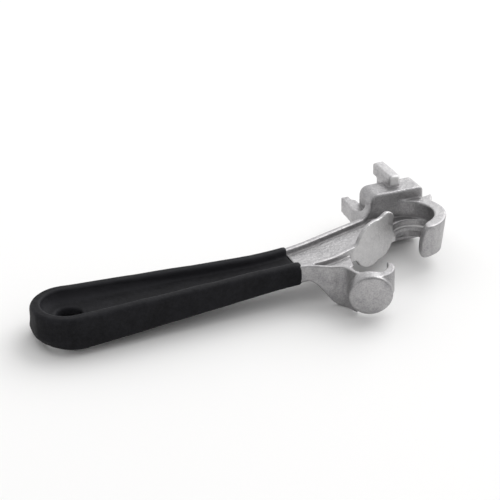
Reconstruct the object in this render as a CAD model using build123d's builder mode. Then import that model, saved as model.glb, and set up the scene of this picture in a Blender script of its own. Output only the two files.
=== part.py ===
from build123d import *
import os
from math import cos, radians, sin

# Painter's multi tool: a one-piece aluminium casting with a dipped vinyl grip.
# Millimetres.  The deck is the mid plane of the casting's web.  x runs from the
# hang hole to the head, y to the plug wrench side of the head, z off the deck.

# ---------------------------------------------------------------- handle beam
butt_radius = 17.1  # rounded end of the bare casting, round the hang hole
butt_half_height = 7.6  # rails at the hang hole, above and below the deck
neck_rise = 5.3  # rails of the neck and the fork, above the deck
neck_drop = 4.0  # and below it
rail_width = 3.0  # thickness of the rails in plan
rail_fade = 6.0  # the far rail fades into the boss over this length
rail_slack = 0.2  # clears the inner face of a leaning rail
web_thickness = 5.0  # web of the neck, the fork and the arm
handle_web = 2.4  # thinner web between the rails under the grip
hang_hole = 14.8  # hole in the bare casting
far_angle = -2.6  # far edge of the handle, against the x axis
far_length = 85.3  # straight part of the far edge
far_bend_radius = 126
fork_angle = 18.5  # far rail of the fork
near_angle = 5.9  # near edge of the handle
near_length = 93.6
near_sag_radius = 270
near_bend_radius = 42.7
edge_break = 0.8  # small radius of the cast edges

# ---------------------------------------------------------------- dipped grip
grip_length = 116.5  # hang hole centre to the cut end of the grip
coat = 0.9  # thickness of the vinyl
lip_round = 1.9  # rounded lips of the grip

# ------------------------------------------------------------ plug wrench boss
boss_left = 171.4
boss_width = 30.1
boss_front = 31.3  # y of the wall that faces the hook
boss_depth = 14.3
boss_top = 15.9
boss_bottom = -13.4
boss_corner = 2.5
boss_shoulder = 4.6  # larger radius above the foot
foot_radius = 4.6  # sweep from the far rail up the side of the boss
foot_depth = 6.0
foot_fade = 1.8  # the faded rail ends this far before the side of the boss
bar_left = 185.0
bar_width = 6.2
bar_height = 5.9
bar_front = 36.8
bar_reach = 57.2
rib_reach = 53.0
rib_rise = 1.0  # the rib stands this far above the boss
lug_bottom = -2.9
lug_reach = 11.3  # side lug, out past the back of the boss
lug_spread = 5.7  # side lug, out past the side of the boss
tooth_reach = 10.0  # rear tooth, out past the other side

# ------------------------------------------------------------------- C hook
hook_station = 184.7  # x of the centre of the hook
hook_bore_radius = 14.1
hook_wall = 6.1
hook_top = 10.3
hook_bottom = -9.0  # under the centre of the hook
hook_slant = 5.0  # degrees: the underside drops towards the boss
hook_lean = 2.4  # the outer side draws in by this much from top to bottom
hook_tip_angle = 72  # degrees from the widest point of the hook to its tip
hook_tip_bulge = 5.9  # the tip reaches further round at half height
hook_tip_round = 1.8
seat_centre = (188.2, 15.4)  # stepped seat inside the hook
seat_radius = 11.3
seat_top = 1.2
seat_step = -2.4
seat_bottom = -5.2
seat_lip = 0.8  # the lower step stands in by this much

# ------------------------------------------------------------- lobed scraper
scraper_angle = 23  # near rail of the fork, and the scraper on it
scraper_thickness = 2.2
scraper_length = 40.2
scraper_nick = 7.0  # from the root to the nick in the lower edge

# ------------------------------------------------------- hammer and nail claw
claw_centre = (147.2, -18.0)
claw_radius = 9.0
claw_back_centre = (147.9, -21.2)
claw_back_radius = 10.3
claw_bottom = -7.5
claw_tip = -18.8  # y of the point of the claw
arm_start = 115.0  # x where the arm leaves the near rail
arm_root = -5.2  # y there
arm_dive = radians(8)  # its heading there, down from the x axis
arm_rim = 2.1
arm_floor = -16.3  # lowest edge of the arm's skirt
skirt_foot = 134.0  # x where the skirt reaches its lowest edge
skirt_line = ((0.33, -0.04), (0.54, 0.25), (0.75, 0.70))  # shares of its run and of its drop
gusset_edge = ((140.8, -15.0), (145.7, 1.5))  # free edge of the web between arm and rail
hammer_radius = 10.8
hammer_face = (142.0, -31.0, -4.8)  # centre of the face
hammer_turn = 19.5  # the face looks back towards the handle by this much
hammer_tilt = 4.8  # and down by this much
hammer_depth = 6.5

# --------------------------------------------------------------- worked out
hook_centre = (hook_station, boss_front - hook_bore_radius)
hook_radius = hook_bore_radius + hook_wall
boss_back = boss_front + boss_depth
claw_left = claw_back_centre[0] - claw_back_radius - 0.4
boss_right = boss_left + boss_width
beam_end = boss_left + boss_corner
fork_run = 60  # the fork is drawn longer than it is, and trimmed at the boss
reach = 200  # longer than any cut


def upright(x, y, turn=0.0):
    """Plane that stands on the deck at x, y and faces -y: local x along it, local y up."""
    return Plane(
        origin=(x, y, 0),
        x_dir=(cos(radians(turn)), sin(radians(turn)), 0),
        z_dir=(sin(radians(turn)), -cos(radians(turn)), 0),
    )


# Closed plan of the handle, neck and fork.  Both edges start tangent to the butt
# and run past the boss, so that the troughs stay open there.
with BuildSketch() as beam_plan:
    with BuildLine():
        far_straight = PolarLine(
            (-butt_radius * sin(radians(far_angle)), butt_radius * cos(radians(far_angle))),
            far_length,
            angle=far_angle,
        )
        far_bend = JernArc(far_straight @ 1, far_straight % 1, far_bend_radius, fork_angle - far_angle)
        far_fork = PolarLine(far_bend @ 1, fork_run, angle=fork_angle)
        near_straight = PolarLine(
            (butt_radius * sin(radians(near_angle)), -butt_radius * cos(radians(near_angle))),
            near_length,
            angle=near_angle,
        )
        near_sag = JernArc(near_straight @ 1, near_straight % 1, near_sag_radius, -near_angle)
        near_bend = JernArc(near_sag @ 1, near_sag % 1, near_bend_radius, scraper_angle)
        near_fork = PolarLine(near_bend @ 1, fork_run, angle=scraper_angle)
        Line(far_fork @ 1, near_fork @ 1)
        ThreePointArc(far_straight @ 0, (-butt_radius, 0), near_straight @ 0)
    make_face()
scraper_root = near_bend @ 1
beam_outline = beam_plan.sketch

# Middle line of the arm's rim, from the near rail down to the back of the claw.
with BuildLine() as arm_line:
    root_curve = TangentArc(
        (arm_start, arm_root), (arm_start + 10.0, arm_root - 4.1), tangent=(cos(arm_dive), -sin(arm_dive))
    )
    dip_curve = TangentArc(root_curve @ 1, (arm_start + 16.5, arm_root - 7.2), tangent=root_curve % 1)
    turn_curve = TangentArc(dip_curve @ 1, (claw_left - 0.2, claw_centre[1] + 0.2), tangent=dip_curve % 1)
    TangentArc(turn_curve @ 1, (claw_left + 1.6, claw_centre[1] - 5.5), tangent=turn_curve % 1)

# Bare beam: an I-section of even web, tall at the hang hole and low at the neck.
with BuildPart() as beam:
    with BuildSketch(Plane.XZ):
        with BuildLine():
            Polyline(
                (-butt_radius, -butt_half_height),
                (-butt_radius, butt_half_height),
                (0, butt_half_height),
                (grip_length, neck_rise),
                (beam_end, neck_rise),
                (beam_end, -neck_drop),
                (grip_length, -neck_drop),
                (0, -butt_half_height),
                close=True,
            )
        make_face()
    extrude(amount=reach, both=True)
    with BuildSketch(Plane.XY.offset(-butt_half_height)):
        add(beam_outline)
    extrude(amount=2 * butt_half_height, mode=Mode.INTERSECT)
    for side in (1, -1):
        with BuildSketch(Plane.XY.offset(side * web_thickness / 2)):
            add(beam_outline)
            offset(amount=-rail_width, mode=Mode.REPLACE)
        extrude(amount=reach, dir=(0, 0, side), mode=Mode.SUBTRACT)
        with BuildSketch(Plane.XY.offset(side * handle_web / 2)):
            add(beam_outline)
            offset(amount=-rail_width, mode=Mode.REPLACE)
            with Locations((grip_length, 0)):
                Rectangle(reach, reach, align=(Align.MIN, Align.CENTER), mode=Mode.SUBTRACT)
        extrude(amount=reach, dir=(0, 0, side), mode=Mode.SUBTRACT)
        # The far rail fades into the front of the boss.
        with BuildSketch(Plane.XY.offset(side * web_thickness / 2)):
            fork_step = far_fork @ 1 - far_fork @ 0
            fade_start = far_fork @ ((boss_left - rail_fade - (far_fork @ 0).X) / fork_step.X)
            with BuildLine():
                Polyline(
                    fade_start - Vector(0, rail_width + rail_slack),
                    (boss_left - foot_fade, boss_front),
                    (beam_end, boss_front),
                    (beam_end, fade_start.Y - rail_width - 1),
                    close=True,
                )
            make_face()
        extrude(amount=reach, dir=(0, 0, side), mode=Mode.SUBTRACT)
    # The near rail has no lower half behind the scraper.
    with BuildSketch(upright(scraper_root.X, scraper_root.Y, scraper_angle)):
        with Locations((scraper_nick, -web_thickness / 2)):
            Rectangle(reach, reach, align=(Align.MIN, Align.MAX))
    extrude(amount=-rail_width, mode=Mode.SUBTRACT)
    with BuildSketch():
        Circle(hang_hole / 2)
    extrude(amount=reach, both=True, mode=Mode.SUBTRACT)

# C hook: a wall with a leaning outer side, a slanted underside and a bulging tip.
with BuildPart() as hook:
    with BuildSketch(Plane.XZ.offset(-hook_centre[1])):
        with BuildLine():
            Polyline(
                (hook_centre[0] + hook_bore_radius, hook_bottom - hook_lean),
                (hook_centre[0] + hook_bore_radius, hook_top),
                (hook_centre[0] + hook_radius, hook_top),
                (hook_centre[0] + hook_radius - hook_lean, hook_bottom - hook_lean),
                close=True,
            )
        make_face()
    revolve(axis=Axis((*hook_centre, 0), (0, 0, 1)))
    tip_angle = radians(hook_tip_angle)
    tip_plane = Plane(
        origin=(*hook_centre, 0),
        x_dir=(sin(tip_angle), cos(tip_angle), 0),
        z_dir=(cos(tip_angle), -sin(tip_angle), 0),
    )
    with BuildSketch(tip_plane):
        with BuildLine():
            brow = ThreePointArc(
                (0, hook_top), (-0.77 * hook_tip_bulge, hook_top / 2), (-hook_tip_bulge, -hook_top / 4)
            )
            chin = TangentArc(brow @ 1, (-hook_tip_bulge / 2, hook_bottom + 1), tangent=brow % 1)
            Polyline(
                chin @ 1,
                (-hook_tip_bulge / 2, -reach),
                (-reach, -reach),
                (-reach, reach),
                (0, reach),
                brow @ 0,
            )
        make_face()
    extrude(amount=reach, mode=Mode.SUBTRACT)
    with BuildSketch(Plane.XY.offset(-reach / 2)):
        with Locations(hook_centre):
            Rectangle(reach, reach, align=(Align.MAX, Align.MIN))
        with Locations((hook_station - hook_tip_bulge, hook_centre[1])):
            Rectangle(reach, reach, align=(Align.MAX, Align.MAX))
    extrude(amount=reach, mode=Mode.SUBTRACT)
    with BuildSketch(Plane.YZ.offset(hook_station)):
        with Locations(Location((hook_centre[1], hook_bottom), -hook_slant)):
            Rectangle(reach, reach, align=(Align.CENTER, Align.MAX))
    extrude(amount=reach / 2, both=True, mode=Mode.SUBTRACT)
    # Round off the two long sides of the tip.
    def from_axis(edge):
        spot = edge @ 0.5
        return Vector(spot.X - hook_centre[0], spot.Y - hook_centre[1]).length

    tip_edges = faces().filter_by(GeomType.CYLINDER).sort_by(Axis.Y)[:2].edges()
    inner_side = tip_edges.filter_by(lambda edge: from_axis(edge) < hook_bore_radius + 0.1)
    outer_side = tip_edges.filter_by(lambda edge: from_axis(edge) > hook_radius - hook_lean)
    fillet(inner_side + outer_side, hook_tip_round)

# Plug wrench boss, with its cross bar, the rib behind it, and the two side lugs.
with BuildPart() as boss:
    with BuildSketch(Plane.XZ.offset(-boss_front)):
        with Locations((boss_left, boss_bottom)):
            Rectangle(boss_width, boss_top - boss_bottom, align=(Align.MIN, Align.MIN))
        shoulder = vertices().group_by(Axis.Y)[-1].sort_by(Axis.X)[0]
        fillet(vertices() - ShapeList([shoulder]), boss_corner)
        fillet(vertices().group_by(Axis.Y)[-1].sort_by(Axis.X)[0], boss_shoulder)
    extrude(amount=-boss_depth)
    # Swept foot, from the far rail up the side of the wall.
    with BuildSketch(Plane.XZ.offset(-boss_front)):
        with Locations((boss_left, neck_rise)):
            Rectangle(2 * foot_radius, neck_rise - lug_bottom, align=(Align.CENTER, Align.MAX))
            Rectangle(foot_radius, foot_radius, align=(Align.MAX, Align.MIN))
        with Locations((boss_left - foot_radius, neck_rise + foot_radius)):
            Circle(foot_radius, mode=Mode.SUBTRACT)
    extrude(amount=-foot_depth)
    chamfer(edges().group_by(Axis.Y)[0] + edges().group_by(Axis.Y)[-1], edge_break)
    # Cross bar on the boss, on a rib that runs down its back.
    with BuildSketch(Plane.XY.offset(boss_top - edge_break)):
        with Locations((bar_left, bar_front)):
            Rectangle(bar_width, bar_reach - bar_front, align=(Align.MIN, Align.MIN))
        fillet(vertices().sort_by(Axis.Y)[:2], bar_width / 3)
    extrude(amount=bar_height + edge_break)
    chamfer(faces().sort_by(Axis.Z)[-1].edges(), edge_break)
    with BuildSketch(Plane.XY.offset(boss_bottom + boss_corner)):
        with Locations((bar_left, boss_back - boss_corner)):
            Rectangle(bar_width, rib_reach - boss_back + boss_corner, align=(Align.MIN, Align.MIN))
    extrude(amount=boss_top - boss_bottom - boss_corner + rib_rise)
    # Side lug and rear tooth, level with the rails.
    with BuildSketch(Plane.XY.offset(lug_bottom)):
        with BuildLine():
            Polyline(
                (boss_left + boss_corner, boss_front + boss_corner),
                (boss_left - foot_radius, boss_front + foot_depth),
                (boss_left - lug_spread, boss_front + 10.9),
                (boss_left - lug_spread + 1.0, boss_back + lug_reach),
                (boss_left - 0.5, boss_back + lug_reach),
                (boss_left - 0.8, boss_back + lug_reach - 3.6),
                (boss_left + 1.2, boss_back + 5.6),
                (boss_left + 1.1, boss_back + 2.4),
                (boss_left + boss_corner, boss_back - boss_corner),
                close=True,
            )
        make_face()
        with BuildLine():
            Polyline(
                (boss_right - boss_corner, boss_back - 3.2),
                (boss_right + 5.3, boss_back - 4.9),
                (boss_right + tooth_reach, boss_back - 3.7),
                (boss_right + tooth_reach - 0.8, boss_back - 6.6),
                (boss_right + 5.7, boss_front + 1.9),
                (boss_right, boss_front - 6.8),
                (boss_right - 4.0, boss_front - 1.3),
                close=True,
            )
        make_face()
    extrude(amount=neck_rise - lug_bottom)

# Lobed scraper blade, standing on the line of the near rail.
with BuildPart() as scraper:
    with BuildSketch(upright(scraper_root.X, scraper_root.Y, scraper_angle)):
        with BuildLine():
            rise = Line((0, neck_rise), (9.5, neck_rise))
            sweep_up = TangentArc(rise @ 1, (13.4, 8.0), tangent=rise % 1)
            crest = ThreePointArc(sweep_up @ 1, (18.4, 12.7), (26.5, 14.4))
            dip = ThreePointArc(crest @ 1, (29.6, 14.5), (32.4, 15.5))
            ear = ThreePointArc(dip @ 1, (36.4, 15.5), (39.6, 12.2))
            slope = Line(ear @ 1, (38.8, 4.6))
            knob = ThreePointArc(slope @ 1, (40.2, 1.6), (38.6, -1.6))
            heel = ThreePointArc(knob @ 1, (34.9, -6.3), (28.2, -8.3))
            lobe = ThreePointArc(heel @ 1, (20.5, -9.5), (13.8, -5.4))
            nick = ThreePointArc(lobe @ 1, (11.0, -2.6), (scraper_nick, -web_thickness / 2))
            Polyline(nick @ 1, (0, -web_thickness / 2), rise @ 0)
        make_face()
    extrude(amount=-scraper_thickness)

# Arm with the hammer pad and the nail claw.
with BuildPart() as arm:
    # Thin rim, with a skirt that is shallow at the rail and deep at the hammer.
    with BuildSketch(Plane.XY.offset(arm_floor)):
        trace(arm_line.line, line_width=arm_rim)
    extrude(amount=neck_rise - arm_floor)
    with BuildSketch(Plane.XZ):
        with BuildLine():
            skirt_run, skirt_drop = skirt_foot - arm_start, arm_floor + neck_drop
            skirt = Spline(
                (arm_start, -neck_drop),
                *[(arm_start + run * skirt_run, drop * skirt_drop - neck_drop) for run, drop in skirt_line],
                (skirt_foot, arm_floor),
            )
            Polyline(
                skirt @ 1,
                (skirt_foot, arm_floor - 1),
                (arm_start - arm_rim, arm_floor - 1),
                (arm_start - arm_rim, -neck_drop),
                skirt @ 0,
            )
        make_face()
    extrude(amount=reach, mode=Mode.SUBTRACT)
    # Web between the rim and the near rail.
    with BuildSketch(Plane.XY.offset(-web_thickness / 2)):
        with BuildLine():
            add(arm_line.line)
            Polyline(arm_line.line @ 1, (gusset_edge[0][0], claw_centre[1]), *gusset_edge, arm_line.line @ 0)
        make_face()
    extrude(amount=web_thickness)
    # Claw: an eccentric crescent, cut to a point.
    with BuildSketch(Plane.XY.offset(claw_bottom)):
        with Locations(claw_back_centre):
            Circle(claw_back_radius)
        with BuildLine():
            Polyline(
                (claw_centre[0], claw_tip + claw_radius),
                (claw_centre[0], claw_tip + 1),
                (claw_centre[0] + claw_radius, claw_tip),
                (claw_centre[0] + 2 * claw_radius, claw_tip - claw_radius),
                (claw_centre[0] + 2 * claw_radius, claw_tip + claw_radius),
                close=True,
            )
        make_face(mode=Mode.SUBTRACT)
    extrude(amount=neck_rise - claw_bottom)
    # Hammer face: a round pad on its own leaning axis.
    turn, tilt = radians(hammer_turn), radians(hammer_tilt)
    pad_plane = Plane(
        origin=hammer_face,
        x_dir=(cos(turn), -sin(turn), 0),
        z_dir=(-sin(turn) * cos(tilt), -cos(turn) * cos(tilt), -sin(tilt)),
    )
    with BuildSketch(pad_plane):
        Circle(hammer_radius)
    extrude(amount=-hammer_depth)
    chamfer(faces().sort_by(Axis(hammer_face, pad_plane.z_dir))[-1].edges(), edge_break)
    with BuildSketch():
        with Locations(claw_centre):
            Circle(claw_radius)
    extrude(amount=reach, both=True, mode=Mode.SUBTRACT)

# The whole casting.
with BuildPart() as tool_casting:
    add(beam.part)
    # Web of the fork, out to the middle of the hook's wall.
    with BuildSketch(Plane.XY.offset(-web_thickness / 2)):
        with Locations(hook_centre):
            Circle(hook_bore_radius + hook_wall / 2)
            Rectangle(hook_station - boss_left, hook_bore_radius + boss_corner, align=(Align.MAX, Align.MIN))
        with BuildLine():
            blade_line = PolarLine(scraper_root, scraper_length, angle=scraper_angle)
            Polyline(
                blade_line @ 1,
                (seat_centre[0], (blade_line @ 1).Y),
                (seat_centre[0], -reach),
                (scraper_root.X, -reach),
                scraper_root,
            )
        make_face(mode=Mode.SUBTRACT)
    extrude(amount=web_thickness)
    # Stepped seat inside the hook, open towards its mouth.
    with BuildSketch(Plane.XY.offset(seat_bottom)):
        with Locations(hook_centre):
            Circle(hook_bore_radius + hook_wall / 2)
            Rectangle(reach, reach, align=(Align.CENTER, Align.MAX), mode=Mode.SUBTRACT)
    extrude(amount=seat_top - seat_bottom)
    with BuildSketch(Plane.XY.offset(seat_top)):
        with Locations(hook_centre):
            Circle(hook_bore_radius)
    extrude(amount=reach, mode=Mode.SUBTRACT)
    for level, inset in ((seat_step, 0), (seat_bottom - 1, seat_lip)):
        with BuildSketch(Plane.XY.offset(level)):
            with Locations(seat_centre):
                Circle(seat_radius - inset)
                Rectangle(2 * (seat_radius - inset), reach, align=(Align.CENTER, Align.MAX))
        extrude(amount=reach, mode=Mode.SUBTRACT)
    add(scraper.part)
    add(arm.part)
    add(boss.part)
    add(hook.part)

tool_casting.part.label = "tool_casting"

# The dipped grip: the beam grown by the coat, cut off square, less the casting.
with BuildPart() as grip_sleeve:
    with BuildSketch(Plane.XZ):
        with BuildLine():
            Polyline(
                (-butt_radius - coat, -butt_half_height - coat),
                (-butt_radius - coat, butt_half_height + coat),
                (0, butt_half_height + coat),
                (grip_length, neck_rise + coat),
                (grip_length, -neck_drop - coat),
                (0, -butt_half_height - coat),
                close=True,
            )
        make_face()
    extrude(amount=reach, both=True)
    with BuildSketch(Plane.XY.offset(-butt_half_height - coat)):
        add(beam_outline)
        offset(amount=coat, mode=Mode.REPLACE)
    extrude(amount=2 * butt_half_height + 2 * coat, mode=Mode.INTERSECT)
    lips = edges().filter_by(lambda edge: abs(edge.center().Z) > neck_drop)
    fillet(lips.filter_by(Axis.Y, reverse=True), lip_round)
    for side in (1, -1):
        with BuildSketch(Plane.XY.offset(side * (handle_web / 2 + coat))):
            add(beam_outline)
            offset(amount=-rail_width - coat, mode=Mode.REPLACE)
        extrude(amount=reach, dir=(0, 0, side), mode=Mode.SUBTRACT)
    with BuildSketch():
        Circle(hang_hole / 2 - coat)
    extrude(amount=reach, both=True, mode=Mode.SUBTRACT)
    add(tool_casting.part, mode=Mode.SUBTRACT)

grip_sleeve.part.label = "grip_sleeve"

os.makedirs("parts", exist_ok=True)
export_step(tool_casting.part, "parts/tool_casting.step")
export_step(grip_sleeve.part, "parts/grip_sleeve.step")
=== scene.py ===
"""Looks of a painter's multi tool: a sand-cast aluminium head, beam and handle web, and a vinyl grip.

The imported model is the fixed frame. Each of its two solids is stood for by a skin that follows it:
the solid's own mesh, remeshed to an even grid, relaxed so that its edges are as soft as cast or dipped
ones, and given the shallow waves of a casting. All lengths in this file are in metres.
"""

import logging
import math
from dataclasses import dataclass
from enum import Enum

import bmesh
import bpy
import numpy as np
from mathutils import Matrix, Vector


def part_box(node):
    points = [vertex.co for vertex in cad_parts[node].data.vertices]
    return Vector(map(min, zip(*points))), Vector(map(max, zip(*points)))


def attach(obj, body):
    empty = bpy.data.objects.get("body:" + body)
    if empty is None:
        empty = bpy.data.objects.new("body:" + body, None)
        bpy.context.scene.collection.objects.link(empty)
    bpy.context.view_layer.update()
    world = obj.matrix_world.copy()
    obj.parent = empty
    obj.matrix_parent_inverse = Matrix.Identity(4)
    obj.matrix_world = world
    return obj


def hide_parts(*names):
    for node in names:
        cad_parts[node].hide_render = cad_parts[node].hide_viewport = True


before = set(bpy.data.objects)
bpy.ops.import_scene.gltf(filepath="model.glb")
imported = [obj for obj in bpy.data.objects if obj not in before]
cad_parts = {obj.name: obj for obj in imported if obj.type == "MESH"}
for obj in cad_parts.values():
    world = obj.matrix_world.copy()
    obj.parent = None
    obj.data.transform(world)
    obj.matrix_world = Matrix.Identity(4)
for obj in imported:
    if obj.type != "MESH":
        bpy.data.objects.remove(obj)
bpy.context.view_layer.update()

log = logging.getLogger("multi_tool")

MM = 0.001
HOOK_AXIS = (184.7 * MM, 17.2 * MM)
Numbers = tuple[float, ...]
Span = tuple[float, float]


class Slot(Enum):
    """The finishes that the part's record names."""

    METAL = "cast_aluminium"
    VINYL = "dipped_vinyl"


@dataclass(frozen=True)
class Pattern:
    """A noise pattern, and the levels between which its blotches rise.

    Its size is the width of one blotch, and its finer layers have a number and a strength.
    """

    size: float
    layers: float
    strength: float
    low: float
    high: float


class Signal:
    """An output socket of a shader tree that Python arithmetic can be written on."""

    def __init__(self, sheet: "NodeSheet", source: bpy.types.NodeSocket) -> None:
        """Wraps one output socket.

        Args:
            sheet: The node sheet that new Math nodes go on.
            source: The output socket.
        """
        self.sheet = sheet
        self.source = source

    def __add__(self, other: "Signal | float") -> "Signal":
        """Returns this value plus another."""
        return self.sheet.math("ADD", self, other)

    def __radd__(self, other: "Signal | float") -> "Signal":
        """Returns another value plus this one."""
        return self.sheet.math("ADD", other, self)

    def __sub__(self, other: "Signal | float") -> "Signal":
        """Returns this value minus another."""
        return self.sheet.math("SUBTRACT", self, other)

    def __rsub__(self, other: "Signal | float") -> "Signal":
        """Returns another value minus this one."""
        return self.sheet.math("SUBTRACT", other, self)

    def __mul__(self, other: "Signal | float") -> "Signal":
        """Returns this value times another."""
        return self.sheet.math("MULTIPLY", self, other)

    def __rmul__(self, other: "Signal | float") -> "Signal":
        """Returns another value times this one."""
        return self.sheet.math("MULTIPLY", other, self)

    def __abs__(self) -> "Signal":
        """Returns this value without its sign."""
        return self.sheet.math("ABSOLUTE", self, 0.0)

    def held(self) -> "Signal":
        """Returns this value, held between 0 and 1."""
        return self.sheet.math("ADD", self, 0.0, clamp=True)

    def blotches(self, pattern: Pattern) -> "Signal":
        """Returns this pattern's value as blotches, 0 between them and 1 on them."""
        return self.step(pattern.low, pattern.high)

    def step(self, low: float, high: float) -> "Signal":
        """Ramps this value smoothly from 0 at one level to 1 at another.

        Args:
            low: The level that gives 0.
            high: The level that gives 1.

        Returns:
            The ramped value.
        """
        node = self.sheet.node(
            "ShaderNodeMapRange",
            {"interpolation_type": "SMOOTHSTEP", "clamp": True},
            {"Value": self, "From Min": low, "From Max": high, "To Min": 0.0, "To Max": 1.0},
        )
        return Signal(self.sheet, node.outputs["Result"])


class NodeSheet:
    """A node tree that nodes are laid out on with one method."""

    MIX_SHARE, MIX_LOW, MIX_HIGH, MIX_COLOUR = 0, 6, 7, 2  # a Mix node's sockets when it mixes colours

    def __init__(self, tree: bpy.types.NodeTree) -> None:
        """Empties the tree, ready for new nodes.

        Args:
            tree: The material's or world's node tree.
        """
        self.tree = tree
        tree.nodes.clear()

    def node(
        self,
        kind: str,
        settings: dict[str, object] | None = None,
        sockets: dict[str | int, object] | None = None,
    ) -> bpy.types.Node:
        """Adds a node, sets its settings, and then fills or links its input sockets.

        Args:
            kind: Blender's name for the node's type.
            settings: Values of the node's own properties.
            sockets: A value, colour or Signal for each named or numbered input.

        Returns:
            The new node.
        """
        made = self.tree.nodes.new(kind)
        for key, value in (settings or {}).items():
            setattr(made, key, value)
        for key, value in (sockets or {}).items():
            if isinstance(value, Signal):
                self.tree.links.new(value.source, made.inputs[key])
            else:
                made.inputs[key].default_value = value
        return made

    def out(self, node: bpy.types.Node, name: str | int = 0) -> Signal:
        """Returns a node's output as a Signal."""
        return Signal(self, node.outputs[name])

    def math(self, operation: str, a: Signal | float, b: Signal | float, clamp: bool = False) -> Signal:
        """Adds one Math node.

        Args:
            operation: The node's operation.
            a: Its first value.
            b: Its second value.
            clamp: True to hold the result between 0 and 1.

        Returns:
            The node's result.
        """
        settings = {"operation": operation, "use_clamp": clamp}
        return self.out(self.node("ShaderNodeMath", settings, {0: a, 1: b}))

    def mix(self, share: Signal, low: Numbers | Signal, high: Numbers | Signal) -> Signal:
        """Mixes two colours.

        Args:
            share: 0 for the first colour and 1 for the second.
            low: The first colour.
            high: The second colour.

        Returns:
            The mixed colour.
        """
        sockets = {self.MIX_SHARE: share, self.MIX_LOW: low, self.MIX_HIGH: high}
        return self.out(self.node("ShaderNodeMix", {"data_type": "RGBA"}, sockets), self.MIX_COLOUR)

    def place(self) -> Signal:
        """Returns the point on the object, in metres."""
        return self.out(self.node("ShaderNodeTexCoord"), "Object")

    def stored(self, name: str) -> Signal:
        """Returns a number that the mesh keeps for each of its points."""
        return self.out(self.node("ShaderNodeAttribute", {"attribute_name": name}), "Fac")

    def noise(self, place: Signal, pattern: Pattern) -> Signal:
        """Adds a noise pattern.

        Args:
            place: Where the pattern is read.
            pattern: Its size and finer layers.

        Returns:
            The pattern's value, about 0 to 1.
        """
        sockets = {
            "Vector": place,
            "Scale": 1.0 / pattern.size,
            "Detail": pattern.layers,
            "Roughness": pattern.strength,
        }
        return self.out(self.node("ShaderNodeTexNoise", {"noise_dimensions": "3D"}, sockets))

    def bump(self, height: Signal, depth: float, below: Signal | None = None) -> Signal:
        """Adds relief to the surface's direction.

        Args:
            height: The relief's height, about 0 to 1.
            depth: The height of 1, in metres.
            below: Coarser relief that this one lies on.

        Returns:
            The surface's new direction.
        """
        sockets: dict[str | int, object] = {"Height": height, "Distance": depth, "Strength": 1.0}
        if below is not None:
            sockets["Normal"] = below
        return self.out(self.node("ShaderNodeBump", None, sockets), "Normal")


def grey(level: float, warmth: float = 0.0, blue: float = 0.0) -> Numbers:
    """Returns an opaque grey, with a little more red and less blue for warmth, or more blue alone."""
    return (level * (1 + warmth), level, level * (1 - warmth + blue), 1.0)


class Finish:
    """A finish that is laid out as the nodes of a material."""

    name: str

    def material(self) -> bpy.types.Material:
        """Makes the material: one shader, with this finish's values in its sockets.

        Returns:
            The material.
        """
        material = bpy.data.materials.new(self.name)
        material.use_nodes = True
        sheet = NodeSheet(material.node_tree)
        shader = sheet.node("ShaderNodeBsdfPrincipled", None, self.sockets(sheet))
        sheet.node("ShaderNodeOutputMaterial", None, {"Surface": sheet.out(shader)})
        return material

    def sockets(self, sheet: NodeSheet) -> dict[str | int, object]:
        """Lays out what feeds the shader.

        Args:
            sheet: The material's node sheet.

        Returns:
            A value or Signal for each of the shader's sockets that this finish sets.
        """
        raise NotImplementedError


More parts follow.
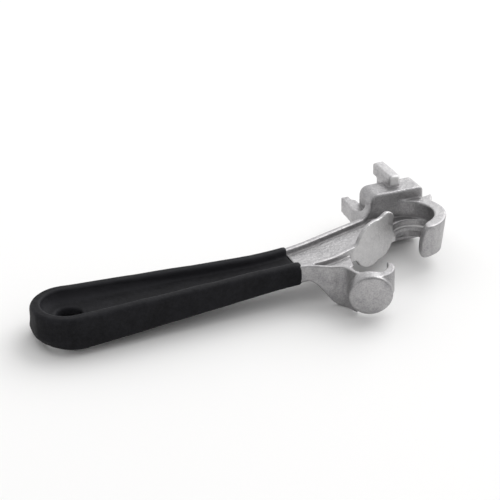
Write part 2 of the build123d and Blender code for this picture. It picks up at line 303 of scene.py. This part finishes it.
@dataclass(frozen=True)
class CastAluminium(Finish):
    """Sand-cast aluminium, tumbled bright: satin and finely grained, with painted shade in its hollows,
    a painted highlight on a few faces, and crests made lighter, partly for edge wear and partly as a
    painted highlight.
    """

    name: str = "cast aluminium"
    face: Numbers = grey(0.47, 0.018, 0.022)
    stain: Numbers = grey(0.28, 0.012, 0.05)
    # painted shade: the dark colour that the hollows are mixed towards
    hollow: Numbers = grey(0.20, 0.025, 0.04)
    # the crests' lighter colour: partly edge wear, partly a painted highlight
    crest: Numbers = grey(0.50, 0.012, 0.015)
    # painted highlight: the near-white colour of the cross bar's front, the blade and the seat's lower
    # ledge
    bright: Numbers = grey(0.92, 0.004)
    hollow_shade_share: float = 0.75
    crest_share: float = 0.4
    bright_share: float = 0.8
    blotch: Pattern = Pattern(9 * MM, 5.0, 0.62, 0.38, 0.68)
    pit: Pattern = Pattern(2.0 * MM, 4.0, 0.6, 0.35, 0.70)
    grain: Pattern = Pattern(0.6 * MM, 3.0, 0.55, 0.32, 0.70)
    blotch_share: float = 0.25
    pit_share: float = 0.24
    grain_share: float = 0.6
    rough_face: float = 0.45
    rough_hollow: float = 0.56
    rough_crest: float = 0.52
    rough_bright: float = 0.62
    rough_blotch: float = 0.10
    rough_pit: float = 0.16
    smooth_ground: float = 0.05
    pit_walls: Span = (0.30, 0.72)
    pit_depth: float = 0.10 * MM
    grain_depth: float = 0.075 * MM
    ground_off: float = 0.6

    def sockets(self, sheet: NodeSheet) -> dict[str | int, object]:
        """Lays out the metal: stains, pits and grain under painted shade in the hollows, lighter crests
        (partly edge wear, partly a painted highlight) and painted highlights on a few faces.

        Args:
            sheet: The material's node sheet.

        Returns:
            The colour, metallic value, roughness and relief.
        """
        place = sheet.place()
        crest, hollow, ground, bright = (
            sheet.stored(mark).held() for mark in ("crest", "hollow", "ground", "bright")
        )
        blotch = sheet.noise(place, self.blotch).blotches(self.blotch)
        pit = sheet.noise(place, self.pit)
        grain = sheet.noise(place, self.grain)
        sand = blotch * self.blotch_share + pit.blotches(self.pit) * self.pit_share
        sand = sand + grain.blotches(self.grain) * self.grain_share
        tone = sheet.mix(sand, self.face, self.stain)
        # painted shade, darkest in the deepest hollows
        tone = sheet.mix(hollow * self.hollow_shade_share, tone, self.hollow)
        # lighter crests: partly edge wear, partly a painted highlight
        tone = sheet.mix(crest * self.crest_share, tone, self.crest)
        # painted highlight on the faces marked bright
        tone = sheet.mix(bright * self.bright_share, tone, self.bright)
        rough = self.rough_face + (blotch - 0.5) * self.rough_blotch + (pit - 0.5) * self.rough_pit
        rough = rough + hollow * (self.rough_hollow - self.rough_face)
        rough = rough + crest * (self.rough_crest - self.rough_face) - ground * self.smooth_ground
        rough = rough + bright * bright * (self.rough_bright - self.rough_face)
        pits = sheet.bump(pit.step(*self.pit_walls), self.pit_depth)
        relief = sheet.bump(grain * (1 - ground * self.ground_off), self.grain_depth, pits)
        return {"Base Color": tone, "Metallic": 1.0, "Roughness": rough.held(), "Normal": relief}


@dataclass(frozen=True)
class DippedVinyl(Finish):
    """Black dipped vinyl: matt, with a fine skin, a soft sheen painted on its crests, which are also
    smoother, and painted light on the trough's inner walls.
    """

    name: str = "dipped vinyl"
    body: Numbers = grey(0.007, blue=0.14)
    # the lighter tone: a painted sheen on the crests, and the colour of the clouds, flecks and skin
    paler: Numbers = grey(0.031, blue=0.14)
    # painted light: the colour of the trough's inner walls
    painted_wall_light: Numbers = grey(0.030, blue=0.14)
    painted_wall_light_share: float = 0.7
    cloud: Pattern = Pattern(12 * MM, 4.0, 0.6, 0.32, 0.70)
    fleck: Pattern = Pattern(2.4 * MM, 3.0, 0.6, 0.35, 0.70)
    skin: Pattern = Pattern(0.7 * MM, 4.0, 0.6, 0.35, 0.68)
    crest_share: float = 0.55
    cloud_share: float = 0.22
    fleck_share: float = 0.16
    skin_share: float = 0.2
    rough_body: float = 0.62
    rough_worn: float = 0.48
    rough_cloud: float = 0.10
    rough_skin: float = 0.2
    cloud_depth: float = 0.25 * MM
    skin_depth: float = 0.05 * MM
    gloss: float = 0.08

    def sockets(self, sheet: NodeSheet) -> dict[str | int, object]:
        """Lays out the vinyl: a painted sheen on the crests, clouds, flecks and skin, under painted
        light on the trough's inner walls.

        Args:
            sheet: The material's node sheet.

        Returns:
            The colour, roughness, relief and gloss.
        """
        place = sheet.place()
        crest, hollow = (sheet.stored(mark).held() for mark in ("crest", "hollow"))
        cloud = sheet.noise(place, self.cloud).blotches(self.cloud)
        fleck = sheet.noise(place, self.fleck).blotches(self.fleck)
        skin = sheet.noise(place, self.skin)
        # a painted sheen on the crests, and mottle from clouds, flecks and skin
        shade = crest * self.crest_share + cloud * self.cloud_share
        shade = shade + fleck * self.fleck_share + skin.blotches(self.skin) * self.skin_share
        tone = sheet.mix(shade, self.body, self.paler)
        # painted light on the trough's inner walls
        tone = sheet.mix(hollow * self.painted_wall_light_share, tone, self.painted_wall_light)
        rough = self.rough_body + (cloud - 0.5) * self.rough_cloud + (skin - 0.5) * self.rough_skin
        rough = rough + crest * (self.rough_worn - self.rough_body)
        relief = sheet.bump(skin, self.skin_depth, sheet.bump(cloud, self.cloud_depth))
        return {
            "Base Color": tone,
            "Roughness": rough.held(),
            "Normal": relief,
            "Specular IOR Level": self.gloss,
        }


@dataclass(frozen=True)
class PalePaper(Finish):
    """The floor's plain pale surface."""

    name: str = "pale paper"
    tone: Numbers = grey(0.93, 0.004)
    rough: float = 0.9

    def sockets(self, sheet: NodeSheet) -> dict[str | int, object]:
        """Lays out the paper, which is the same all over.

        Args:
            sheet: The material's node sheet.

        Returns:
            The colour and roughness.
        """
        return {"Base Color": self.tone, "Roughness": self.rough}


@dataclass(frozen=True)
class Relief:
    """How crests or hollows are told from level places.

    The surroundings are the points relaxed in a number of passes, the reach. The offsets from them are
    blurred in a number of passes too. They count from the low level on, and in full from the high one.
    """

    reach: int
    blur: int
    low: float
    high: float


class Skin:
    """The points of a closed mesh as one array, with what is worked out on all of them at once."""

    def __init__(self, mesh: bpy.types.Mesh) -> None:
        """Reads the mesh's points and edges.

        Args:
            mesh: The closed mesh.
        """
        self.mesh = mesh
        self.points = np.empty(len(mesh.vertices) * 3)
        mesh.vertices.foreach_get("co", self.points)
        self.points = self.points.reshape(-1, 3)
        ends = np.empty(len(mesh.edges) * 2, np.int64)
        mesh.edges.foreach_get("vertices", ends)
        self.ends = ends.reshape(-1, 2)
        self.degree = np.bincount(ends, minlength=len(self.points)).astype(float)

    def beside(self, values: np.ndarray) -> np.ndarray:
        """Averages each point's neighbours: the sum over its edges' far ends, divided by their number.

        Args:
            values: One row for each point.

        Returns:
            The neighbours' mean, one row for each point.
        """
        near, far = self.ends[:, 0], self.ends[:, 1]
        count = len(self.points)
        columns = values.reshape(count, -1)
        sums = [
            np.bincount(near, columns[far, i], count) + np.bincount(far, columns[near, i], count)
            for i in range(columns.shape[1])
        ]
        return (np.stack(sums, 1) / self.degree[:, None]).reshape(values.shape)

    def relax(self, passes: int, share: float = 0.5, back: float = 0.0) -> np.ndarray:
        """Softens the edges: in each pass a point moves by a share of the way to its neighbours' mean.

        A step back after each pass undoes what it did to the broad forms, so thin walls stay thick.

        Args:
            passes: How many times.
            share: The share of the way, 0 to 1.
            back: The share that the step back moves away from the neighbours' new mean.

        Returns:
            The relaxed points. The mesh itself isn't changed.
        """
        points = self.points.copy()
        for _ in range(passes):
            points += share * (self.beside(points) - points)
            if back:
                points -= back * (self.beside(points) - points)
        return points

    def spread(self, values: np.ndarray, passes: int) -> np.ndarray:
        """Blurs a number over the surface by averaging it with its neighbours' mean.

        Args:
            values: One number for each point.
            passes: How many times.

        Returns:
            The blurred numbers.
        """
        for _ in range(passes):
            values = 0.5 * values + 0.5 * self.beside(values)
        return values

    def normals(self) -> np.ndarray:
        """Reads the outward directions of the mesh as it was last written.

        Returns:
            The directions, one row for each point.
        """
        rows = np.empty(len(self.points) * 3)
        self.mesh.vertex_normals.foreach_get("vector", rows)
        return rows.reshape(-1, 3)

    def write(self) -> None:
        """Puts the points back into the mesh."""
        self.mesh.vertices.foreach_set("co", self.points.astype(np.float32).ravel())
        self.mesh.update()

    def keep(self, name: str, values: np.ndarray) -> None:
        """Stores a number for each point in the mesh.

        Args:
            name: The stored number's name.
            values: One number for each point.
        """
        stored = self.mesh.attributes.new(name, "FLOAT", "POINT")
        stored.data.foreach_set("value", values.astype(np.float32))

    def standing(self, relief: Relief, side: int = 1) -> np.ndarray:
        """Tells which points stand out of their surroundings.

        The measure is a point's offset from its relaxed surroundings along its outward direction, so it
        is above 0 on crests and below 0 in hollows.

        Args:
            relief: How wide the surroundings are, and how far out counts.
            side: 1 for crests and -1 for hollows.

        Returns:
            A number for each point, 0 where it lies level and 1 where it stands out in full.
        """
        offsets = np.einsum("ij,ij->i", self.points - self.relax(relief.reach), self.normals())
        return ramp(side * self.spread(offsets, relief.blur), relief.low, relief.high)


@dataclass(frozen=True)
class Waves:
    """Shallow waves: the mean of several sine waves, each along its own random direction.

    A wave's length is the mean length times a random share. The mean of the waves is scaled so that it
    seldom passes their height.
    """

    length: float
    height: float
    seed: int
    count: int = 14
    shares: Span = (0.6, 1.6)
    peak: float = 1.6

    def heights(self, points: np.ndarray) -> np.ndarray:
        """Works out the waves' heights.

        Args:
            points: Where the waves are read, one row for each point.

        Returns:
            A height for each point, in metres.
        """
        chance = np.random.default_rng(self.seed)
        ways = chance.normal(size=(self.count, 3))
        ways /= np.linalg.norm(ways, axis=1)[:, None]
        rates = 2 * math.pi / (self.length * chance.uniform(*self.shares, self.count))
        phases = chance.uniform(0, 2 * math.pi, self.count)
        mean = np.sin(points @ (ways * rates[:, None]).T + phases).mean(1)
        return mean * math.sqrt(self.count) / self.peak * self.height


def ramp(values: np.ndarray, low: float, high: float) -> np.ndarray:
    """Ramps numbers smoothly from 0 at one level to 1 at another: three squares minus two cubes.

    Args:
        values: The numbers.
        low: The level that gives 0.
        high: The level that gives 1.

    Returns:
        The ramped numbers.
    """
    share = np.clip((values - low) / (high - low), 0, 1)
    return share * share * (3 - 2 * share)


def fall(values: np.ndarray, full: float, none: float) -> np.ndarray:
    """Ramps numbers smoothly from 1 at one level down to 0 at a higher one."""
    return ramp(-values, -none, -full)


@dataclass
class SkinnedPiece:
    """A skin that follows one solid of the frame."""

    node: str
    name: str
    finish: Slot
    cell: float = 0.6 * MM
    double: float = 0.002 * MM
    passes: int = 2
    back: float = 0.5
    most: int = 190_000

    def build(self, material: bpy.types.Material) -> bpy.types.Object:
        """Makes the piece, shapes it, dresses it and lets it stand for its solid.

        Args:
            material: The piece's finish.

        Returns:
            The finished piece.
        """
        piece = self.drape()
        skin = Skin(piece.data)
        self.shape(skin)
        low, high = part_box(self.node)
        skin.points = np.clip(skin.points, np.array(low), np.array(high))
        skin.write()
        self.mark(skin)
        self.thin(piece)
        piece.data.materials.append(material)
        piece.data.polygons.foreach_set("use_smooth", np.ones(len(piece.data.polygons), bool))
        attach(piece, "root")
        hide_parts(self.node)
        return piece

    def drape(self) -> bpy.types.Object:
        """Copies the solid's mesh, merges its doubles and remeshes it to an even grid.

        Returns:
            The new object, with its place in its mesh.
        """
        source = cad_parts[self.node]
        copy = bmesh.new()
        copy.from_mesh(source.data)
        bmesh.ops.remove_doubles(copy, verts=copy.verts[:], dist=self.double)
        merged = bpy.data.meshes.new(self.name + "_merged")
        copy.to_mesh(merged)
        copy.free()
        rough = bpy.data.objects.new(self.name + "_rough", merged)
        bpy.context.scene.collection.objects.link(rough)
        grid = rough.modifiers.new("even grid", "REMESH")
        grid.mode, grid.voxel_size = "VOXEL", self.cell
        graph = bpy.context.evaluated_depsgraph_get()
        mesh = bpy.data.meshes.new_from_object(rough.evaluated_get(graph))
        bpy.data.objects.remove(rough)
        bpy.data.meshes.remove(merged)
        mesh.name = self.name
        mesh.materials.clear()
        piece = bpy.data.objects.new(self.name, mesh)
        bpy.context.scene.collection.objects.link(piece)
        return piece

    def thin(self, piece: bpy.types.Object) -> None:
        """Merges the smallest faces of the flat places, until the piece has few enough triangles.

        Args:
            piece: The piece, whose mesh is exchanged.
        """
        triangles = 2 * len(piece.data.polygons)
        if triangles <= self.most:
            return
        fewer = piece.modifiers.new("fewer faces", "DECIMATE")
        fewer.ratio = self.most / triangles
        graph = bpy.context.evaluated_depsgraph_get()
        mesh = bpy.data.meshes.new_from_object(piece.evaluated_get(graph))
        piece.modifiers.clear()
        spent = piece.data
        piece.data = mesh
        bpy.data.meshes.remove(spent)
        mesh.name = self.name

    def shape(self, skin: Skin) -> None:
        """Softens the skin's edges.

        Args:
            skin: The skin, changed in place.
        """
        skin.points = skin.relax(self.passes, back=self.back)

    def mark(self, skin: Skin) -> None:
        """Stores where the finish changes, as a number for each point.

        Args:
            skin: The finished skin.
        """
        raise NotImplementedError


@dataclass
class HookTip:
    """The free end of the C hook, whose outer side runs further round than its inner side."""

    centre: Span = HOOK_AXIS
    inner: float = 14.1 * MM
    outer: float = 20.2 * MM
    inner_margin: float = 1.5 * MM
    outer_margin: float = 1 * MM
    left_end: float = -4.23 * MM  # what lies further left is the boss
    top: float = 10.3 * MM
    end_angle: float = math.radians(-72)
    bulge: float = 5.9 * MM
    bulge_at: float = -2.6 * MM
    bulge_power: float = 2.5
    levels: Numbers = (-10 * MM, -2.6 * MM, 10.3 * MM)
    inner_gains: Numbers = (1.6 * MM, -0.8 * MM, 1.3 * MM)
    outer_gains: Numbers = (2.6 * MM, 0.4 * MM, 5.0 * MM)
    fade: float = 12 * MM

    def drawn_out(self, points: np.ndarray) -> np.ndarray:
        """Draws the end out by turning its points about the hook's axis.

        The gain in length follows a parabola through its values at three levels, and grows evenly from
        the inner to the outer side. It fades with the square of the distance from the end. A point turns
        by its gain divided by the outer radius.

        Args:
            points: The skin's points.

        Returns:
            The moved points.
        """
        away = points[:, :2] - np.array(self.centre)
        reach = np.linalg.norm(away, axis=1)
        outside = np.array((math.cos(self.end_angle), math.sin(self.end_angle)))
        along = np.array((-math.sin(self.end_angle), math.cos(self.end_angle)))
        rise = np.abs(points[:, 2] - self.bulge_at) / (self.top - self.bulge_at)
        behind = away @ along + self.bulge * (1 - np.minimum(rise, 1) ** self.bulge_power)
        depth = np.clip((reach - self.inner) / (self.outer - self.inner), 0, 1)
        inner_gain, outer_gain = (
            np.polyval(np.polyfit(self.levels, gains, 2), points[:, 2])
            for gains in (self.inner_gains, self.outer_gains)
        )
        gain = inner_gain + (outer_gain - inner_gain) * depth
        held = np.clip(1 - behind / self.fade, 0, 1) ** 2
        wall = (reach > self.inner - self.inner_margin) & (reach < self.outer + self.outer_margin)
        wall &= (away @ outside > 0) & (away[:, 0] > self.left_end)
        turn = -np.where(wall, gain * held / self.outer, 0)
        cosine, sine = np.cos(turn), np.sin(turn)
        moved = points.copy()
        moved[:, 0] = self.centre[0] + away[:, 0] * cosine - away[:, 1] * sine
        moved[:, 1] = self.centre[1] + away[:, 0] * sine + away[:, 1] * cosine
        return moved


@dataclass
class ButtEnd:
    """The handle's rounded end, about the hang hole's axis: drawn in below, with a soft trough above."""

    core: float = 8 * MM
    rim: float = 17.5 * MM
    ends_at: Span = (-19 * MM, 3 * MM)
    waist: float = -3.4 * MM
    taper: float = 0.62
    flare: float = 0.6 * MM
    flare_height: float = 3 * MM
    end: float = -18 * MM
    end_ease: float = 0.9 * MM
    floor: float = 2.1 * MM
    least_level: float = 1.68 * MM  # the cavity's floor lies below this
    half_width: float = 13.2 * MM
    narrowing: float = 0.0744  # of the half width, for each unit of length
    drift: float = 0.029  # of the centre line, for each unit of length
    wall_margin: float = 0.5 * MM
    rail_middle: float = 2.4 * MM
    contrast: float = 2.0  # how sharply open faces give way to the cavity
    corner: float = 5.2 * MM
    corner_end: float = 92 * MM

    def drawn_in(self, points: np.ndarray) -> np.ndarray:
        """Moves the end's side inward below its waist, in proportion to the depth, and swells the waist.

        The swelling is a bell curve of the height. Both grow from the core to the rim, and fade along
        the handle. What would pass the handle's end is eased back to it: the distance left falls off as
        an exponential.

        Args:
            points: The skin's points.

        Returns:
            The moved points.
        """
        away = np.column_stack((np.minimum(points[:, 0], 0), points[:, 1]))
        reach = np.linalg.norm(away, axis=1)
        above = points[:, 2] - self.waist
        swelling = self.flare * np.exp(-((above / self.flare_height) ** 2))
        inward = self.taper * np.maximum(-above, 0) - swelling
        inward *= ramp(reach, self.core, self.rim) * (1 - ramp(points[:, 0], *self.ends_at))
        moved = points.copy()
        moved[:, :2] -= away * (inward / np.maximum(reach, MM))[:, None]
        past = np.minimum(moved[:, 0] - self.end - self.end_ease, 0)
        moved[:, 0] += self.end_ease * np.exp(past / self.end_ease) - self.end_ease - past
        return moved

    def across(self, points: np.ndarray) -> tuple[np.ndarray, np.ndarray]:
        """Measures where points lie across the handle, in plan.

        The gap to the trough's wall is its half width less the distance from its centre line. The half
        width shrinks along the handle. Round the butt the distance is the one from the hang hole's axis.

        Args:
            points: The points.

        Returns:
            Each point's direction away from the centre line, and its gap to the trough's wall.
        """
        along = np.maximum(points[:, 0], 0)
        away = np.column_stack((np.minimum(points[:, 0], 0), points[:, 1] - self.drift * along))
        reach = np.linalg.norm(away, axis=1)
        gap = self.half_width - self.narrowing * along - reach
        return away / np.maximum(reach, MM)[:, None], gap

    def facing_out(self, skin: Skin) -> np.ndarray:
        """Tells the open faces of the grip from the faces of its cavity, which lie against the casting.

        An open face looks away from the middle plane. Outside the rails' middle it looks away from the
        centre line, and inside towards it.

        Args:
            skin: The grip's skin.

        Returns:
            A number for each point, 1 on open faces and 0 in the cavity.
        """
        away, gap = self.across(skin.points)
        ways = skin.normals()
        outward = np.einsum("ij,ij->i", ways[:, :2], away) * -np.sign(gap + self.rail_middle)
        upward = ways[:, 2] * np.sign(skin.points[:, 2])
        return np.clip(self.contrast * (outward + upward), 0, 1)

    def hollowed(self, points: np.ndarray) -> np.ndarray:
        """Rounds the corner between the trough's floor and its walls.

        Where the gap to the wall is less than the radius, the floor rises on a quarter circle. The
        radius shrinks along the handle.

        Args:
            points: The grip's points.

        Returns:
            The moved points.
        """
        gap = self.across(points)[1]
        radius = self.corner * (1 - ramp(points[:, 0], 0, self.corner_end))
        short = np.clip(radius - gap, 0, radius)
        slope = self.floor + radius - np.sqrt(radius**2 - short**2)
        level = np.abs(points[:, 2])
        raised = np.copysign(np.maximum(level, slope), points[:, 2])
        open_side = (level > self.least_level) & (gap > -self.wall_margin)
        moved = points.copy()
        moved[:, 2] = np.where(open_side, raised, points[:, 2])
        return moved


@dataclass
class Casting(SkinnedPiece):
    """The aluminium casting: head, beam, hammer arm and handle web."""

    node: str = "tool_casting"
    name: str = "casting"
    finish: Slot = Slot.METAL
    cell: float = 0.45 * MM
    waves: Waves = Waves(14 * MM, 0.07 * MM, seed=7)
    crest: Relief = Relief(4, 1, 0.06 * MM, 0.20 * MM)
    # the hollows, which the finish darkens with painted shade
    hollow: Relief = Relief(46, 6, 0.06 * MM, 0.5 * MM)
    hammer_face: Numbers = (142 * MM, -31 * MM, -4.8 * MM)
    hammer_rim: Span = (9.936 * MM, 10.8 * MM)
    blade_root: Span = (139.3 * MM, -2.6 * MM)
    blade_angle: float = math.radians(23)
    blade_from: Span = (4 * MM, 11 * MM)
    blade_to: Span = (41 * MM, 42 * MM)
    blade_skin: Span = (0.4 * MM, 0.9 * MM)
    # the share of the painted highlight that the blade gets
    blade_bright: float = 0.45
    bar_front: float = 36.8 * MM
    bar_skin: Span = (0.6 * MM, 1.2 * MM)
    bar_foot: Span = (16.4 * MM, 17.4 * MM)
    bar_top: Span = (19.6 * MM, 20.6 * MM)
    # the bar's front gets the painted highlight in full, its top this share
    bar_bright: float = 0.22
    seat_reach: Span = (14.0 * MM, 14.8 * MM)
    seat_step: Span = (-1.4 * MM, -0.4 * MM)
    seat_slope: Span = (0.3, 0.8)
    # the share of the painted highlight that the seat's lower ledge gets
    seat_bright: float = 0.9

    def shape(self, skin: Skin) -> None:
        """Softens the edges, shapes both ends and adds shallow waves along the outward directions.

        Args:
            skin: The skin, changed in place.
        """
        super().shape(skin)
        skin.points = ButtEnd().drawn_in(HookTip().drawn_out(skin.points))
        skin.points += skin.normals() * self.waves.heights(skin.points)[:, None]

    def blade(self, points: np.ndarray) -> np.ndarray:
        """Finds the outer face of the scraper: points within its span and close to its plane.

        Args:
            points: The skin's points.

        Returns:
            A number for each point, 1 on the face and 0 away from it.
        """
        away = points[:, :2] - np.array(self.blade_root)
        along = away @ np.array((math.cos(self.blade_angle), math.sin(self.blade_angle)))
        out = away @ np.array((math.sin(self.blade_angle), -math.cos(self.blade_angle)))
        inside = ramp(along, *self.blade_from) * fall(along, *self.blade_to)
        return inside * fall(np.abs(out), *self.blade_skin)

    def ledge(self, skin: Skin) -> np.ndarray:
        """Finds the lower ledge of the hook's seat, where a highlight is painted: points inside the
        hook, below its top, that face up.

        Args:
            skin: The finished skin.

        Returns:
            A number for each point, 1 on the ledge and 0 away from it.
        """
        reach = np.linalg.norm(skin.points[:, :2] - np.array(HOOK_AXIS), axis=1)
        inside = fall(reach, *self.seat_reach) * fall(skin.points[:, 2], *self.seat_step)
        return inside * ramp(skin.normals()[:, 2], *self.seat_slope)

    def mark(self, skin: Skin) -> None:
        """Stores the crests, the hollows that get painted shade, the ground faces and the faces that get
        a painted highlight.

        Args:
            skin: The finished skin.
        """
        skin.keep("crest", skin.standing(self.crest))
        # the hollows, darkened in the finish with painted shade
        skin.keep("hollow", skin.standing(self.hollow, -1))
        off_centre = np.linalg.norm(skin.points - np.array(self.hammer_face), axis=1)
        disc = fall(off_centre, *self.hammer_rim)
        y, z = skin.points[:, 1], skin.points[:, 2]
        bar = fall(np.abs(y - self.bar_front), *self.bar_skin) * ramp(z, *self.bar_foot)
        blade = self.blade(skin.points)
        skin.keep("ground", np.maximum.reduce((disc, blade, bar)))
        # painted highlight: the bar's front in full, the blade, the seat's lower ledge and the bar's top
        # in part
        paler = (self.blade_bright * blade, self.seat_bright * self.ledge(skin))
        skin.keep("bright", np.maximum.reduce((bar, *paler, self.bar_bright * ramp(z, *self.bar_top))))


@dataclass
class Grip(SkinnedPiece):
    """The dipped grip over the handle."""

    node: str = "grip_sleeve"
    name: str = "grip"
    finish: Slot = Slot.VINYL
    passes: int = 20
    back: float = 0.15
    swell: float = 0.25 * MM
    swell_blur: int = 1
    waves: Waves = Waves(20 * MM, 0.08 * MM, seed=3)
    crest: Relief = Relief(16, 5, 0.06 * MM, 0.5 * MM)
    # which inner walls get painted light, and how far it spreads
    wall_light_facing: Span = (0.1, 0.7)
    wall_light_blur: int = 3

    def shape(self, skin: Skin) -> None:
        """Rounds the trough, softens the edges, swells the open faces with waves and draws the butt in.

        Args:
            skin: The skin, changed in place.
        """
        butt = ButtEnd()
        skin.points = butt.hollowed(skin.points)
        open_faces = skin.spread(butt.facing_out(skin), self.swell_blur)
        super().shape(skin)
        out = (self.swell + self.waves.heights(skin.points)) * open_faces
        skin.points = butt.drawn_in(skin.points + skin.normals() * out[:, None])

    def mark(self, skin: Skin) -> None:
        """Stores the crests, which get a painted sheen, and the inner walls, which face the middle of
        the trough and get painted light.

        Args:
            skin: The finished skin.
        """
        # the crests, where a sheen is painted
        skin.keep("crest", skin.standing(self.crest))
        # painted light on the inner walls, which face the middle of the trough
        away = ButtEnd().across(skin.points)[0]
        inward = -np.einsum("ij,ij->i", away, skin.normals()[:, :2])
        skin.keep("hollow", skin.spread(ramp(inward, *self.wall_light_facing), self.wall_light_blur))


@dataclass
class Studio:
    """The floor that the tool rests on, the soft lights and the camera."""

    rests: tuple[Numbers, ...] = (
        (-7 * MM, 14.6 * MM, -8.5 * MM),
        (134 * MM, -12.3 * MM, -16.3 * MM),
        (173.7 * MM, 44.8 * MM, -13.4 * MM),
    )
    floor_reach: float = 6.0
    floor_drop: float = 0.05 * MM
    sky_heading: Span = (0.37, 0.93)
    sky_behind: float = 0.7
    sky_beside: float = 0.3
    sky_above: float = 0.55
    sky_levels: Span = (-0.2, 0.95)
    sky_bright: Numbers = grey(1.02)
    sky_dim: Numbers = grey(0.45)
    lamp_at: Numbers = (1.55, 0.78, 1.45)
    lamp_aim: Numbers = (105 * MM, 12 * MM, 0.0)
    lamp_size: float = 1.9
    lamp_power: float = 26.0
    camera_at: Numbers = (-195.78 * MM, -720.85 * MM, 410.25 * MM)
    camera_right: Numbers = (0.92520, -0.37906, -0.01775)
    camera_up: Numbers = (0.18622, 0.41278, 0.89159)
    lens: float = 130.16
    sensor: float = 36.0
    clips: Span = (0.01, 50.0)

    def build(self) -> None:
        """Makes the floor, the sky, the lamp and the camera."""
        self.floor()
        self.sky()
        self.lamp()
        self.camera()
        bpy.context.scene.view_settings.view_transform = "Standard"

    def floor(self) -> None:
        """Lays the floor: a plane through the three points that the tool rests on."""
        a, b, c = (np.array(p) for p in self.rests)
        up = np.cross(b - a, c - a)
        up /= np.linalg.norm(up) * math.copysign(1.0, up[2])
        corners = np.array([(-1, -1), (1, -1), (1, 1), (-1, 1)]) * self.floor_reach
        heights = a[2] - ((corners - a[:2]) @ up[:2]) / up[2] - self.floor_drop
        mesh = bpy.data.meshes.new("floor")
        mesh.from_pydata(np.column_stack((corners, heights)).tolist(), [], [(0, 1, 2, 3)])
        mesh.materials.append(PalePaper().material())
        piece = bpy.data.objects.new("floor", mesh)
        bpy.context.scene.collection.objects.link(piece)

    def sky(self) -> None:
        """Lights the room from all round: bright behind the tool and beside it, dim on the near side."""
        world = bpy.data.worlds.new("soft room")
        world.use_nodes = True
        bpy.context.scene.world = world
        sheet = NodeSheet(world.node_tree)
        way = sheet.out(sheet.node("ShaderNodeTexCoord"), "Generated")
        parts = sheet.node("ShaderNodeSeparateXYZ", None, {0: way})
        x, y, z = (sheet.out(parts, name) for name in "XYZ")
        east, north = self.sky_heading
        behind, beside = x * east + y * north, abs(x * north - y * east)
        glow = behind * self.sky_behind + beside * self.sky_beside + z * self.sky_above
        tone = sheet.mix(glow.step(*self.sky_levels), self.sky_dim, self.sky_bright)
        light = sheet.node("ShaderNodeBackground", None, {"Color": tone, "Strength": 1.0})
        sheet.node("ShaderNodeOutputWorld", None, {"Surface": sheet.out(light)})

    def lamp(self) -> None:
        """Hangs the key lamp, one soft square light that faces the tool."""
        light = bpy.data.lights.new("key", "AREA")
        light.shape, light.size, light.energy = "SQUARE", self.lamp_size, self.lamp_power
        lamp = bpy.data.objects.new("key", light)
        lamp.location = self.lamp_at
        way = Vector(self.lamp_aim) - Vector(self.lamp_at)
        lamp.rotation_euler = way.to_track_quat("-Z", "Y").to_euler()
        bpy.context.scene.collection.objects.link(lamp)

    def camera(self) -> None:
        """Sets the camera up in front of the tool, above the grip end."""
        lens = bpy.data.cameras.new("camera")
        lens.lens, lens.sensor_width = self.lens, self.sensor
        lens.clip_start, lens.clip_end = self.clips
        camera = bpy.data.objects.new("camera", lens)
        right, up = Vector(self.camera_right).normalized(), Vector(self.camera_up)
        back = right.cross(up).normalized()
        up = back.cross(right)
        turn = Matrix((right, up, back)).transposed().to_4x4()
        camera.matrix_world = Matrix.Translation(Vector(self.camera_at)) @ turn
        bpy.context.scene.collection.objects.link(camera)
        bpy.context.scene.camera = camera


def main() -> None:
    """Builds the studio and the two pieces."""
    logging.basicConfig(level=logging.INFO, format="%(name)s: %(message)s")
    Studio().build()
    for maker, finish in ((Casting(), CastAluminium()), (Grip(), DippedVinyl())):
        piece = maker.build(finish.material())
        log.info("%s: %d faces", piece.name, len(piece.data.polygons))


if __name__ == "__main__":
    main()
